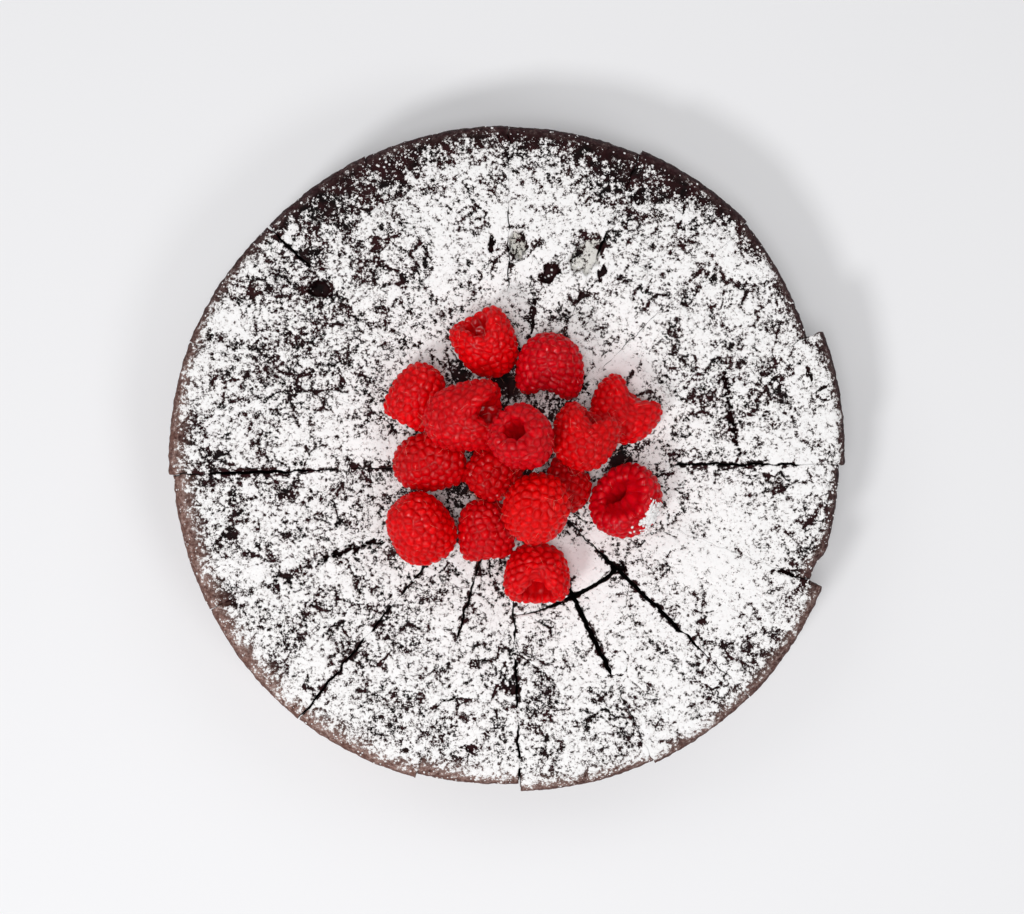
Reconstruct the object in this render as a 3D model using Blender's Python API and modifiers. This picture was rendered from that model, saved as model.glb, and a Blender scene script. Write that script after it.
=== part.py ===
"""Austrian chocolate cake: a round flourless torte, cut into sixteen slices that still keep
the whole's shape, with a heap of fresh raspberries on its sunken middle.

Metres, +Z up. The origin is the middle of the underside, and the cake stands on z = 0.
Every slice and every raspberry is an object of its own. Slices stand a knife's width apart,
and the berries are let down one by one until they rest on the cake or on each other.
"""

import math

import bmesh
import bpy
from mathutils import Matrix, Vector, noise
from mathutils.bvhtree import BVHTree

MM = 0.001

# The torte, baked in a 24 cm tin: level rim, sunken middle, rounded shoulder
CAKE_RADIUS = 118 * MM
RIM_HEIGHT = 37 * MM
SINK = 3.5 * MM
SINK_RADIUS = 102 * MM
SHOULDER = 5 * MM
FOOT_CHAMFER = 1 * MM
CREST_WAVE = 0.7 * MM
CREST_WAVE_LENGTH = 30 * MM

# All cuts cross here, a little in front of the cake's own middle
CUT_CENTRE = Vector((0.5 * MM, -2.3 * MM))
TIP_RADIUS = 1.5 * MM
HAIRLINE = 0.34 * MM
STEPS_PER_SLICE = 6
RING_SPACING = 10.5 * MM

# One row a slice, anticlockwise from +X: the angle of the cut it begins at, its rim radius
# at that cut and at the next one in mm, and how far it stands over or under the mean in mm
SLICES = (
    (0.0, 119.6, 120.5, 0.4),
    (23.0, 114.6, 118.5, -0.3),
    (45.5, 119.3, 119.0, 0.2),
    (67.0, 117.3, 117.3, -0.2),
    (90.0, 117.7, 117.7, 0.3),
    (115.0, 118.2, 118.0, 0.0),
    (135.3, 117.9, 120.0, -0.1),
    (159.0, 119.8, 120.1, 0.1),
    (181.8, 118.5, 118.3, -0.1),
    (206.0, 118.2, 118.6, 0.3),
    (230.5, 118.6, 118.1, -0.3),
    (253.5, 116.4, 115.6, 0.1),
    (272.0, 118.3, 119.2, 0.4),
    (296.0, 120.2, 120.8, -0.2),
    (316.0, 121.0, 120.8, 0.2),
    (338.8, 118.0, 117.6, -0.4),
)

# Where a cut gapes: its angle, then from where to where and how wide, in mm
GAPING_CUTS = {
    0.0: (62, 101, 0.9),
    67.0: (76, 90, 0.9),
    90.0: (66, 86, 0.7),
    135.3: (88, 119, 0.9),
    181.8: (76, 99, 1.2),
    230.5: (43, 112, 0.9),
    253.5: (35, 62, 0.8),
    272.0: (56, 110, 0.9),
    296.0: (52, 82, 1.9),
    316.0: (50, 88, 1.6),
}
GAPE_RAMP = 8 * MM

# Two slices have snapped across, and their points are pieces of their own
SNAPPED_SLICES = (272.0, 296.0)
SNAP_RADIUS = 52.7 * MM
SNAP_GAP = 1.2 * MM
SNAP_WANDER = 0.7 * MM
SNAP_REACH = 9 * MM

# The rim of this slice has lost its corner beside the next cut
CHIPPED_SLICE = 338.8
CHIP_ANGLE = 2.6
CHIP_LOSS = 2.4 * MM

# Sunken holes in the crust: middle X and Y, length, width in mm, turn in degrees, depth in mm
CRUST_HOLES = {
    "hole_slit": (-5.4, 75.3, 6.6, 2.4, 80, 4.5),
    "hole_sugared": (3.9, 75.3, 11.2, 6.8, 98, 3.2),
    "hole_bare": (14.8, 65.3, 7.6, 6.2, 60, 3.4),
    "hole_wide": (28.0, 71.4, 15.5, 11.5, 70, 2.4),
    "hole_at_cut": (-66.0, 59.4, 7.8, 7.2, 20, 4.0),
    "hole_at_snap": (39.7, -38.6, 5.0, 3.6, 30, 6.0),
}
HOLE_SIDES = 9
HOLE_TAPER = 0.72

# Cracks that open the crust without parting the slice: width, depth, then points X, Y in mm
CRUST_CRACKS = {
    "crack_left": (1.7, 4.5, ((-66.6, -36.4), (-56.7, -32.8), (-49.7, -30.6), (-43.6, -29.8))),
    "crack_right": (1.3, 4.0, ((76.4, 29.2), (79.0, 14.4), (80.6, 6.4), (82.4, 0.9))),
}
CUTTER_HEADROOM = 6 * MM

# A raspberry from tip to rim and back up its hollow: share of the radius, share of the length
BERRY_PROFILE = (
    (0.00, 0.50),
    (0.34, 0.475),
    (0.68, 0.385),
    (0.91, 0.195),
    (1.00, -0.04),
    (0.985, -0.27),
    (0.87, -0.435),
    (0.66, -0.50),
    (0.47, -0.43),
    (0.36, -0.18),
    (0.20, 0.08),
    (0.00, 0.14),
)
DRUPELET_ROWS = (1, 7)
DRUPELETS_ROUND = 16
DRUPELET_RISE = 1.0 * MM
DRUPELET_SHOWS = 0.7
BERRY_UNEVEN = 0.45 * MM
BERRY_UNEVEN_LENGTH = 9 * MM
BERRY_UNEVEN_STEP = Vector((7.3, 3.1, 0))

# The lips of a berry's mouth: how far across it, as a share of the radius squared, they turn
# from back to forward, the width of the upper lip's notch as a share of the radius, and how
# much of the notch the hollow behind the lip follows
LIP_TURN = 0.35
NOTCH_SPREAD = 0.38
NOTCH_INSIDE = 0.5

# In the order they were laid. X, Y of the middle; length, width and depth in mm; heading of
# the tip and its rise over level in degrees; how far the sides stand forward past the middle
# of the mouth, and how deep the upper lip is notched, in mm; and how wide the mouth is as a
# share of the profile's
RASPBERRIES = (
    (19.4, -9.4, 18.2, 18.8, 16.0, -30, 3, 0.5, 0.0, 1.00),
    (-26.7, -0.8, 26.2, 21.8, 17.5, 190, 6, 0.0, 0.0, 1.00),
    (-32.2, 21.2, 23.0, 19.8, 17.5, 62, 8, 0.5, 0.0, 1.00),
    (-29.4, -24.4, 25.0, 23.2, 21.0, 118, 35, 0.0, 0.0, 1.00),
    (-8.4, -25.0, 21.6, 20.4, 17.5, 96, 8, 0.5, 0.5, 1.00),
    (9.4, -39.3, 20.8, 23.8, 17.5, 90, -24, 0.8, 5.0, 1.00),
    (14.8, 31.8, 22.6, 24.6, 19.0, 82, 16, 1.0, 3.2, 0.90),
    (-7.6, 40.6, 23.5, 22.4, 18.0, -60, -16, 1.5, 6.0, 0.90),
    (41.4, 16.9, 20.5, 25.4, 18.5, 234, 10, 2.0, 4.4, 1.00),
    (41.1, -14.8, 18.5, 27.3, 24.2, -40, -54, 1.0, 3.0, 0.94),
    (-5.2, -5.4, 19.0, 19.4, 16.0, 232, 12, 0.0, 0.0, 1.00),
    (27.0, 7.2, 22.0, 23.2, 19.0, -112, 4, 0.8, 4.6, 0.90),
    (-14.0, 14.1, 28.0, 24.6, 18.0, 188, -4, 1.5, 8.0, 1.00),
    (4.5, 7.2, 18.0, 21.6, 23.2, -49, -46, 1.0, 2.0, 0.78),
    (9.9, -17.2, 21.5, 23.0, 24.8, 60, 68, 0.0, 0.0, 1.00),
)

# Each berry is let down from above, and may slide a little to where it lies lower
RESTING_GAP = 0.35 * MM
DROP_FROM = 110 * MM
LIFT_STEP = 0.1 * MM
SLIDE = 1.2 * MM
SLIDE_RINGS = 2
SLIDE_TURNS = 8
SLIDE_COST = 1.2

CAKE_COLOUR = (0.022, 0.0065, 0.006)
BERRY_COLOUR = (0.52, 0.004, 0.008)


def collection(name):
    made = bpy.data.collections.new(name)
    bpy.context.scene.collection.children.link(made)
    return made


def finish_material(name, colour, roughness):
    made = bpy.data.materials.new(name)
    made.use_nodes = True
    shader = made.node_tree.nodes["Principled BSDF"]
    shader.inputs["Base Color"].default_value = (*colour, 1)
    shader.inputs["Roughness"].default_value = roughness
    shader.inputs["Metallic"].default_value = 0
    return made


def face_outwards(bm):
    bmesh.ops.recalc_face_normals(bm, faces=bm.faces)
    if bm.calc_volume(signed=True) < 0:
        bmesh.ops.reverse_faces(bm, faces=bm.faces)


def object_from(bm, name, target, finish=None):
    """Closes a bmesh into a named object in the target collection."""
    mesh = bpy.data.meshes.new(name)
    bm.to_mesh(mesh)
    bm.free()
    made = bpy.data.objects.new(name, mesh)
    target.objects.link(made)
    if finish:
        mesh.materials.append(finish)
    return made


def smoothstep(low, high, value):
    share = min(max((value - low) / (high - low), 0), 1)
    return share * share * (3 - 2 * share)


def crest_height(x, y):
    """The top crust's height over the table at a point of the cake."""
    sink = SINK * (1 - smoothstep(0.3 * SINK_RADIUS, SINK_RADIUS, math.hypot(x, y)))
    wave = noise.noise(Vector((x, y, 0)) / CREST_WAVE_LENGTH)
    return RIM_HEIGHT - sink + CREST_WAVE * wave


def rim_distance(angle, rim):
    """How far the outline of a rim radius lies from the cuts' centre at an angle."""
    along = CUT_CENTRE.x * math.cos(angle) + CUT_CENTRE.y * math.sin(angle)
    return math.sqrt(along**2 - CUT_CENTRE.length_squared + rim**2) - along


def half_gap(cut, distance):
    """Half the width of a cut at a distance from the cuts' centre."""
    if cut not in GAPING_CUTS:
        return HAIRLINE / 2
    start, end, width = (MM * value for value in GAPING_CUTS[cut])
    rise = smoothstep(start - GAPE_RAMP, start, distance)
    fall = 1 - smoothstep(end, end + GAPE_RAMP, distance)
    return (HAIRLINE + (width - HAIRLINE) * rise * fall) / 2


def slice_profile(inner, outer):
    """Points (distance from the cuts' centre, height) round one slice's section. Without an
    outer end, it runs out to the rim and has the rounded shoulder and the chamfered foot."""
    level_end = outer or CAKE_RADIUS - SHOULDER
    rings = max(round((level_end - inner) / RING_SPACING), 1)
    top = [inner + (level_end - inner) * i / rings for i in range(rings + 1)]
    points = [(inner, 0)] + [(distance, RIM_HEIGHT) for distance in top]
    if outer:
        return points + [(outer, 0)]
    for degrees in (30, 60, 90):
        turn = math.radians(degrees)
        bulge = SHOULDER * math.sin(turn)
        drop = SHOULDER * (1 - math.cos(turn))
        points.append((CAKE_RADIUS - SHOULDER + bulge, RIM_HEIGHT - drop))
    points.append((CAKE_RADIUS, RIM_HEIGHT / 2))
    points.append((CAKE_RADIUS, FOOT_CHAMFER))
    points.append((CAKE_RADIUS - FOOT_CHAMFER, 0))
    return points


def slice_solid(name, row, next_cut, inner, outer, target, finish):
    """Spins a section through one slice's angle, then fits it to its rim, cuts and crust."""
    cut, rim_start, rim_end, lift = row
    span = (next_cut - cut) % 360
    bm = bmesh.new()
    corners = [bm.verts.new((x, 0, z)) for x, z in slice_profile(inner, outer)]
    section = bm.faces.new(corners)
    bmesh.ops.spin(
        bm,
        geom=[section, *section.edges, *section.verts],
        cent=(0, 0, 0),
        axis=(0, 0, 1),
        angle=math.radians(span),
        steps=STEPS_PER_SLICE,
    )
    for vert in bm.verts:
        distance = math.hypot(vert.co.x, vert.co.y)
        share = math.degrees(math.atan2(vert.co.y, vert.co.x)) / span
        angle = math.radians(cut + span * share)
        rim = MM * (rim_start + (rim_end - rim_start) * share)
        if cut == CHIPPED_SLICE:
            rim -= CHIP_LOSS * (1 - smoothstep(CHIP_ANGLE, 2.4 * CHIP_ANGLE, share * span))
        growth = rim_distance(angle, rim) - CAKE_RADIUS
        distance += growth * smoothstep(SNAP_RADIUS, CAKE_RADIUS - SHOULDER, distance)
        near_snap = math.exp(-(((distance - SNAP_RADIUS) / SNAP_REACH) ** 2))
        distance += SNAP_WANDER * math.sin(7 * angle) * near_snap
        start = math.asin(half_gap(cut, distance) / distance)
        end = math.asin(half_gap(next_cut % 360, distance) / distance)
        angle = math.radians(cut) + start + (math.radians(span) - start - end) * share
        x = CUT_CENTRE.x + distance * math.cos(angle)
        y = CUT_CENTRE.y + distance * math.sin(angle)
        rise = crest_height(x, y) + MM * lift - RIM_HEIGHT
        vert.co = (x, y, vert.co.z + rise * vert.co.z / RIM_HEIGHT)
    face_outwards(bm)
    bmesh.ops.triangulate(bm, faces=bm.faces)
    return object_from(bm, name, target, finish)


def make_slices(target, finish):
    """All sixteen slices, the snapped ones as an outer piece and its point."""
    cuts = [row[0] for row in SLICES] + [360.0]
    slices = {}
    for number, row in enumerate(SLICES, 1):
        name = f"slice_{number:02d}"
        pieces = {name: (TIP_RADIUS, None)}
        if row[0] in SNAPPED_SLICES:
            pieces[name] = (SNAP_RADIUS + SNAP_GAP / 2, None)
            pieces[name + "_point"] = (TIP_RADIUS, SNAP_RADIUS - SNAP_GAP / 2)
        for piece, (inner, outer) in pieces.items():
            slices[piece] = slice_solid(piece, row, cuts[number], inner, outer, target, finish)
    return slices


def hole_cutter(name, target):
    """A tapered plug with an uneven outline, which leaves a hole with a level floor."""
    x, y, length, width, turn, depth = CRUST_HOLES[name]
    bottom = crest_height(x * MM, y * MM) - depth * MM
    height = depth * MM + CUTTER_HEADROOM
    bm = bmesh.new()
    bmesh.ops.create_cone(
        bm,
        cap_ends=True,
        segments=HOLE_SIDES,
        radius1=HOLE_TAPER / 2,
        radius2=0.5 + (0.5 - HOLE_TAPER / 2) * CUTTER_HEADROOM / (depth * MM),
        depth=height,
    )
    for vert in bm.verts:
        angle = math.atan2(vert.co.y, vert.co.x)
        uneven = 1 + 0.12 * math.sin(2 * angle + x) + 0.08 * math.sin(3 * angle + y)
        vert.co.x *= length * MM * uneven
        vert.co.y *= width * MM * uneven
    place = Matrix.Translation((x * MM, y * MM, bottom + height / 2))
    bm.transform(place @ Matrix.Rotation(math.radians(turn), 4, "Z"))
    return object_from(bm, name, target)


def crack_cutter(name, target):
    """A curtain hung along the crack and thickened, which leaves a groove in the crust."""
    width, depth, points = CRUST_CRACKS[name]
    bm = bmesh.new()
    level = RIM_HEIGHT + CUTTER_HEADROOM
    chain = [bm.verts.new((x * MM, y * MM, level)) for x, y in points]
    edges = [bm.edges.new(pair) for pair in zip(chain, chain[1:])]
    hung = bmesh.ops.extrude_edge_only(bm, edges=edges)["geom"]
    for vert in hung:
        if isinstance(vert, bmesh.types.BMVert):
            vert.co.z = crest_height(vert.co.x, vert.co.y) - depth * MM
    cutter = object_from(bm, name, target)
    thicken = cutter.modifiers.new("width", "SOLIDIFY")
    thicken.thickness = width * MM
    thicken.offset = 0
    return cutter


def boxes_meet(slice_object, cutter):
    """Whether a cutter's box and a slice's box meet, seen from above."""
    boxes = []
    for thing in (slice_object, cutter):
        xs = [vert.co.x for vert in thing.data.vertices]
        ys = [vert.co.y for vert in thing.data.vertices]
        boxes.append((min(xs), max(xs), min(ys), max(ys)))
    (a_left, a_right, a_near, a_far), (b_left, b_right, b_near, b_far) = boxes
    return a_left < b_right and b_left < a_right and a_near < b_far and b_near < a_far


def open_crust(slices, target):
    """Cuts the holes and the cracks out of the slices they lie in."""
    cutters = [hole_cutter(name, target) for name in CRUST_HOLES]
    cutters += [crack_cutter(name, target) for name in CRUST_CRACKS]
    for cutter in cutters:
        cutter.hide_render = True
        cutter.display_type = "WIRE"
        for piece in slices.values():
            if boxes_meet(piece, cutter):
                cut = piece.modifiers.new(cutter.name, "BOOLEAN")
                cut.operation = "DIFFERENCE"
                cut.solver = "EXACT"
                cut.object = cutter


def berry_mesh(seed, length, width, depth, curl, notch, mouth):
    """A hollow thimble with staggered rows of drupelets, tip up, round the origin."""
    bm = bmesh.new()
    chain = [bm.verts.new((share, 0, height)) for share, height in BERRY_PROFILE]
    edges = [bm.edges.new(pair) for pair in zip(chain, chain[1:])]
    bmesh.ops.spin(
        bm,
        geom=[*chain, *edges],
        cent=(0, 0, 0),
        axis=(0, 0, 1),
        angle=2 * math.pi,
        steps=DRUPELETS_ROUND,
        use_merge=True,
    )
    bmesh.ops.remove_doubles(bm, verts=bm.verts, dist=1e-5)
    heights = [height for _, height in BERRY_PROFILE]
    lip = heights.index(min(heights))
    rows = {}
    for vert in bm.verts:
        share = math.hypot(vert.co.x, vert.co.y)
        row = min(
            range(len(BERRY_PROFILE)),
            key=lambda i: abs(BERRY_PROFILE[i][0] - share) + abs(heights[i] - vert.co.z),
        )
        rows[vert] = row
    cover = DRUPELET_RISE * DRUPELET_SHOWS
    radius_x = width * MM / 2 - cover
    radius_y = depth * MM / 2 - cover
    body = length * MM - 2 * cover
    for vert, row in rows.items():
        share, height = BERRY_PROFILE[row]
        share *= mouth if row >= lip else 1
        turn = math.atan2(vert.co.y, vert.co.x) + row * math.pi / DRUPELETS_ROUND
        across, up = share * math.cos(turn), share * math.sin(turn)
        along = height * body + curl * MM * (LIP_TURN - across * across)
        upper_lip = smoothstep(0.0, 0.35, up) * smoothstep(0.1, -0.45, height)
        notched = math.exp(-((across / NOTCH_SPREAD) ** 2)) * upper_lip
        along += notch * MM * notched * (1 if row <= lip + 1 else NOTCH_INSIDE)
        vert.co = (across * radius_x, up * radius_y, along)
    face_outwards(bm)
    first, last = DRUPELET_ROWS
    drupelets = []
    for face in bm.faces:
        face_rows = {rows[vert] for vert in face.verts}
        if len(face.verts) == 4 and min(face_rows) >= first and max(face_rows) <= last + 1:
            drupelets.append(face)
    bmesh.ops.poke(bm, faces=drupelets, offset=DRUPELET_RISE, center_mode="MEAN")
    bm.normal_update()
    for vert in bm.verts:
        place = vert.co / BERRY_UNEVEN_LENGTH + seed * BERRY_UNEVEN_STEP
        vert.co += BERRY_UNEVEN * noise.noise(place) * vert.co.normalized()
    bmesh.ops.triangulate(bm, faces=bm.faces)
    return bm


def heading_matrix(heading, rise):
    """Turns a berry's own axes: +Z to its tip, +X level, and +Y to its upper side."""
    turn, climb = math.radians(heading), math.radians(rise)
    tip = Vector((math.cos(climb) * math.cos(turn), math.cos(climb) * math.sin(turn), 0))
    tip.z = math.sin(climb)
    side = Vector((-math.sin(turn), math.cos(turn), 0))
    top = tip.cross(side)
    return Matrix((side, top, tip)).transposed().to_4x4()


def tree_of(bm, shift=(0, 0, 0), margin=0.0):
    """A search tree of a bmesh moved by a shift, with each point moved out by a margin."""
    points = [vert.co + margin * vert.normal + Vector(shift) for vert in bm.verts]
    faces = [[vert.index for vert in face.verts] for face in bm.faces]
    return BVHTree.FromPolygons(points, faces)


def free_fall(bm, x, y, below, below_points):
    """How far a berry moved level by x, y falls: the least clear height between its points
    and what is below, and between the points below and the berry, less the resting gap."""
    down, up = Vector((0, 0, -1)), Vector((0, 0, 1))
    shift = Vector((x, y, 0))
    falls = [below.ray_cast(vert.co + shift, down)[3] for vert in bm.verts]
    berry = tree_of(bm)
    lows = [min(vert.co[i] for vert in bm.verts) for i in range(2)]
    highs = [max(vert.co[i] for vert in bm.verts) for i in range(2)]
    for point in below_points:
        start = point - shift
        if lows[0] < start.x < highs[0] and lows[1] < start.y < highs[1]:
            falls.append(berry.ray_cast(start, up)[3])
    return min(fall for fall in falls if fall is not None) - RESTING_GAP


def lay_berry(bm, below, below_points):
    """Lets a berry down where it comes to lie lowest without sliding far from its place."""
    best = None
    places = [(0.0, 0.0)]
    for ring in range(1, SLIDE_RINGS + 1):
        for turn in range(SLIDE_TURNS):
            angle = 2 * math.pi * turn / SLIDE_TURNS
            reach = SLIDE * ring / SLIDE_RINGS
            places.append((reach * math.cos(angle), reach * math.sin(angle)))
    for x, y in places:
        fall = free_fall(bm, x, y, below, below_points)
        gain = fall - SLIDE_COST * math.hypot(x, y)
        if best is None or gain > best[0]:
            best = (gain, x, y, fall)
    _, x, y, fall = best
    while tree_of(bm, (x, y, -fall), RESTING_GAP * 0.8).overlap(below):
        fall -= LIFT_STEP
    bm.transform(Matrix.Translation((x, y, -fall)))


def make_raspberries(slices, target, finish):
    """Lets the berries down in turn onto the crust and onto those already there."""
    pile = bmesh.new()
    for piece in slices.values():
        pile.from_mesh(piece.data)
    for number, row in enumerate(RASPBERRIES, 1):
        x, y, length, width, depth, heading, rise, curl, notch, mouth = row
        bm = berry_mesh(number, length, width, depth, curl, notch, mouth)
        bm.transform(heading_matrix(heading, rise))
        lows = [min(vert.co[i] for vert in bm.verts) for i in range(3)]
        highs = [max(vert.co[i] for vert in bm.verts) for i in range(3)]
        middle = (Vector(lows) + Vector(highs)) / 2
        bm.transform(Matrix.Translation(Vector((x * MM, y * MM, DROP_FROM)) - middle))
        bm.verts.index_update()
        bm.normal_update()
        pile.verts.index_update()
        lay_berry(bm, tree_of(pile), [vert.co.copy() for vert in pile.verts])
        made = object_from(bm, f"raspberry_{number:02d}", target, finish)
        pile.from_mesh(made.data)
    pile.free()


def centre_on_origin(objects):
    """Slides everything level, so that the middle of the underside is the origin."""
    xs = [vert.co.x for thing in objects for vert in thing.data.vertices]
    ys = [vert.co.y for thing in objects for vert in thing.data.vertices]
    middle = Vector(((min(xs) + max(xs)) / 2, (min(ys) + max(ys)) / 2, 0))
    for thing in objects:
        thing.data.transform(Matrix.Translation(-middle))


def clear_scene():
    for thing in list(bpy.data.objects):
        bpy.data.objects.remove(thing, do_unlink=True)


def build():
    clear_scene()
    cake = collection("austrian_chocolate_cake")
    tools = collection("cutters")
    crust = finish_material("dark_chocolate_crust", CAKE_COLOUR, 0.75)
    fruit = finish_material("raspberry", BERRY_COLOUR, 0.35)
    slices = make_slices(cake, crust)
    make_raspberries(slices, cake, fruit)
    open_crust(slices, tools)
    centre_on_origin([*cake.objects, *tools.objects])


build()
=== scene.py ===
"""Austrian chocolate cake: a flourless torte cut into sixteen slices that still keep the
whole's shape, dusted with icing sugar, with a heap of fresh raspberries on its middle.

Metres, +Z up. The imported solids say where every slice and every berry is; each is replaced
here by a finely modelled piece of the same form.
"""

import math
import random

import bmesh
import bpy
import numpy as np
from mathutils import Matrix, Vector, kdtree, noise


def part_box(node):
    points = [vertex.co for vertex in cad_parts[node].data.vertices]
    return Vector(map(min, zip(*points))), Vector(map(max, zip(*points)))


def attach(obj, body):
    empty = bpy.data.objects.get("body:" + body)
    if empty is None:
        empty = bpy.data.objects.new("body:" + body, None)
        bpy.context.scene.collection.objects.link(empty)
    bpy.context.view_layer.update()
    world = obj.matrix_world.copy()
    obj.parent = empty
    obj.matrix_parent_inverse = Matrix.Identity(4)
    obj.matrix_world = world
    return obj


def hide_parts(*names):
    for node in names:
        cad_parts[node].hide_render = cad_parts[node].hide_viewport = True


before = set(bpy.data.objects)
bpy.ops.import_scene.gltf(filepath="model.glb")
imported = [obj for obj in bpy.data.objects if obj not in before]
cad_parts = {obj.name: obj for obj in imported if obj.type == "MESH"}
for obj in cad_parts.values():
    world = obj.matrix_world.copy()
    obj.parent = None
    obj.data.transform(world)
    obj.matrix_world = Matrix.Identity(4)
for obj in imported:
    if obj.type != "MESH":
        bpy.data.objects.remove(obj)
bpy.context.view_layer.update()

MM = 0.001

# The torte: a low round cake of chocolate, butter, eggs and sugar, baked in a 24 cm springform
# tin. Its middle sank as it cooled, and its top dried to a thin crust that crazed. A long
# knife cut it into sixteen slices, which were pushed together again.
CAKE_RADIUS = 118 * MM
RIM_HEIGHT = 37 * MM
SINK = 3.5 * MM
SINK_RADIUS = 102 * MM
SHOULDER = 5 * MM
FOOT_CHAMFER = 1 * MM
CREST_WAVE = 0.7 * MM
CREST_WAVE_LENGTH = 30 * MM
CUT_CENTRE = (0.5 * MM, -2.3 * MM)
TIP_RADIUS = 1.5 * MM
HAIRLINE = 0.34 * MM

# Cut angle, rim radius at that cut and at the next in mm, height over the mean in mm
SLICES = (
    (0.0, 119.6, 120.5, 0.4),
    (23.0, 114.6, 118.5, -0.3),
    (45.5, 119.3, 119.0, 0.2),
    (67.0, 117.3, 117.3, -0.2),
    (90.0, 117.7, 117.7, 0.3),
    (115.0, 118.2, 118.0, 0.0),
    (135.3, 117.9, 120.0, -0.1),
    (159.0, 119.8, 120.1, 0.1),
    (181.8, 118.5, 118.3, -0.1),
    (206.0, 118.2, 118.6, 0.3),
    (230.5, 118.6, 118.1, -0.3),
    (253.5, 116.4, 115.6, 0.1),
    (272.0, 118.3, 119.2, 0.4),
    (296.0, 120.2, 120.8, -0.2),
    (316.0, 121.0, 120.8, 0.2),
    (338.8, 118.0, 117.6, -0.4),
)

# Where a cut gapes: from where to where and how wide, in mm
GAPING_CUTS = {
    0.0: (62, 101, 0.9),
    67.0: (76, 90, 0.9),
    90.0: (66, 86, 0.7),
    135.3: (88, 119, 0.9),
    181.8: (76, 99, 1.2),
    230.5: (43, 112, 0.9),
    253.5: (35, 62, 0.8),
    272.0: (56, 110, 0.9),
    296.0: (52, 82, 1.9),
    316.0: (50, 88, 1.6),
}
GAPE_RAMP = 8 * MM

# Where a cut shows in the crust at all, in mm, and how ragged and bare its edges are there;
# elsewhere sugar and crumbs close it on top
OPEN_CUTS = {
    0.0: ((60, 100, 0.8), (112, 121, 0.2)),
    23.0: ((110, 122, 0.2),),
    45.5: ((50, 72, 0.15),),
    67.0: ((59, 65, 0.3), (82, 87, 1.1), (107, 120, 0.5)),
    90.0: ((64, 88, 0.3), (108, 115, 0.5)),
    115.0: ((112, 122, 0.2),),
    135.3: ((97, 120, 0.8),),
    159.0: ((115, 122, 0.2),),
    181.8: ((38, 120, 0.85),),
    206.0: ((110, 122, 0.2),),
    230.5: ((38, 58, 0.55), (66, 120, 0.65)),
    253.5: ((28, 62, 0.65),),
    272.0: ((48, 60, 0.5), (70, 86, 0.8), (94, 114, 0.6)),
    296.0: ((40, 80, 0.8), (89, 106, 0.4)),
    316.0: ((26, 83, 0.9), (88, 106, 0.4)),
    338.8: ((103, 122, 0.5),),
}
OPEN_RAMP = 4 * MM
CLOSED_GAP = 0.01 * MM
CLOSED_DEPTH = 1.6 * MM
RAGGED_EDGE = 0.2 * MM
RAGGED_DEPTH = 3 * MM
BRIDGE_SPACING = 6 * MM
LEVELLED_SIDE = 4 * MM
TOUCHING_DEPTHS = (9 * MM, 16 * MM)
SHED_SIDE = 0.85 * MM

# The crust's lips lean over a gape, and its crumbled edge wanders off the knife's straight line
CRUST_LIPS = 0.76
CUT_WANDER = 0.8 * MM
CUT_WANDER_LENGTH = 5 * MM
CUT_WANDER_DEPTH = 6 * MM
CUT_WANDER_START = (12 * MM, 30 * MM)

# Where two slices snapped across, and between which bearings sugar closes the break
SNAPPED_SLICES = (272.0, 296.0)
SNAP_RADIUS = 52.7 * MM
SNAP_GAP = 1.2 * MM
SNAP_WANDER = 0.7 * MM
SNAP_REACH = 9 * MM
SNAP_CLOSED = (280, 292)
SNAP_JAGS = 0.45 * MM

CHIPPED_SLICE = 338.8
CHIP_ANGLE = 2.6
CHIP_LOSS = 2.4 * MM

# Sunken holes: middle, length, width in mm, turn in degrees, depth in mm, share of sugar
CRUST_HOLES = (
    (-5.4, 75.3, 6.6, 2.4, 80, 4.5, 0.0),
    (3.9, 75.3, 11.2, 6.8, 98, 3.2, 0.85),
    (14.8, 65.3, 7.6, 6.2, 60, 3.4, 0.0),
    (28.0, 71.4, 15.5, 11.5, 70, 2.4, 0.9),
    (-66.0, 59.4, 7.8, 7.2, 20, 4.0, 0.1),
    (39.7, -38.6, 5.0, 3.6, 30, 6.0, 0.0),
)
HOLE_TAPER = 0.72

# Small places where the crust flaked off and left no sugar, as above without the share
FLAKED_SPOTS = (
    (97.8, -40.4, 8.5, 1.3, -8, 1.6),
    (106.4, 29.2, 7.5, 1.0, -76, 1.2),
    (2.6, -81.0, 5.6, 5.0, 40, 1.0),
    (8.9, 49.7, 12.5, 2.2, 85, 1.2),
    (-13.5, -102.0, 6.4, 1.9, -10, 1.0),
    (-36.0, -103.4, 2.6, 2.0, 0, 1.0),
    (-98.9, -51.5, 6.8, 2.4, 0, 1.0),
    (46.4, 92.4, 6.0, 2.2, 80, 1.0),
    (33.2, 65.2, 4.2, 2.6, 70, 1.2),
)
CRACKS = (
    (1.7, 4.5, ((-66.6, -36.4), (-56.7, -32.8), (-49.7, -30.6), (-43.6, -29.8))),
    (1.3, 4.0, ((76.4, 29.2), (79.0, 14.4), (80.6, 6.4), (82.4, 0.9))),
)

# The crazed crust: plates about this wide, parted by hairline cracks in some places
PLATE_SIZE = 11 * MM
PLATE_WAVE = 7 * MM
CRAZE_WIDTH = 0.45 * MM
CRAZE_DEPTH = 0.35 * MM
CRAZE_AREAS = 16 * MM
CRUST_SWELL = 0.3 * MM
CRUST_SWELL_SIZE = 13 * MM
CRUST_GRAIN = 0.14 * MM
CRUST_GRAIN_SIZE = 2.4 * MM
WALL_GRAIN = 0.35 * MM
WALL_GRAIN_SIZE = 2.6 * MM
CRUMB_GRAIN = 0.25 * MM
CRUMB_GRAIN_SIZE = 2 * MM
HOLE_BEND = 1.1 * MM
HOLE_BEND_SIZE = 3.2 * MM

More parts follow.
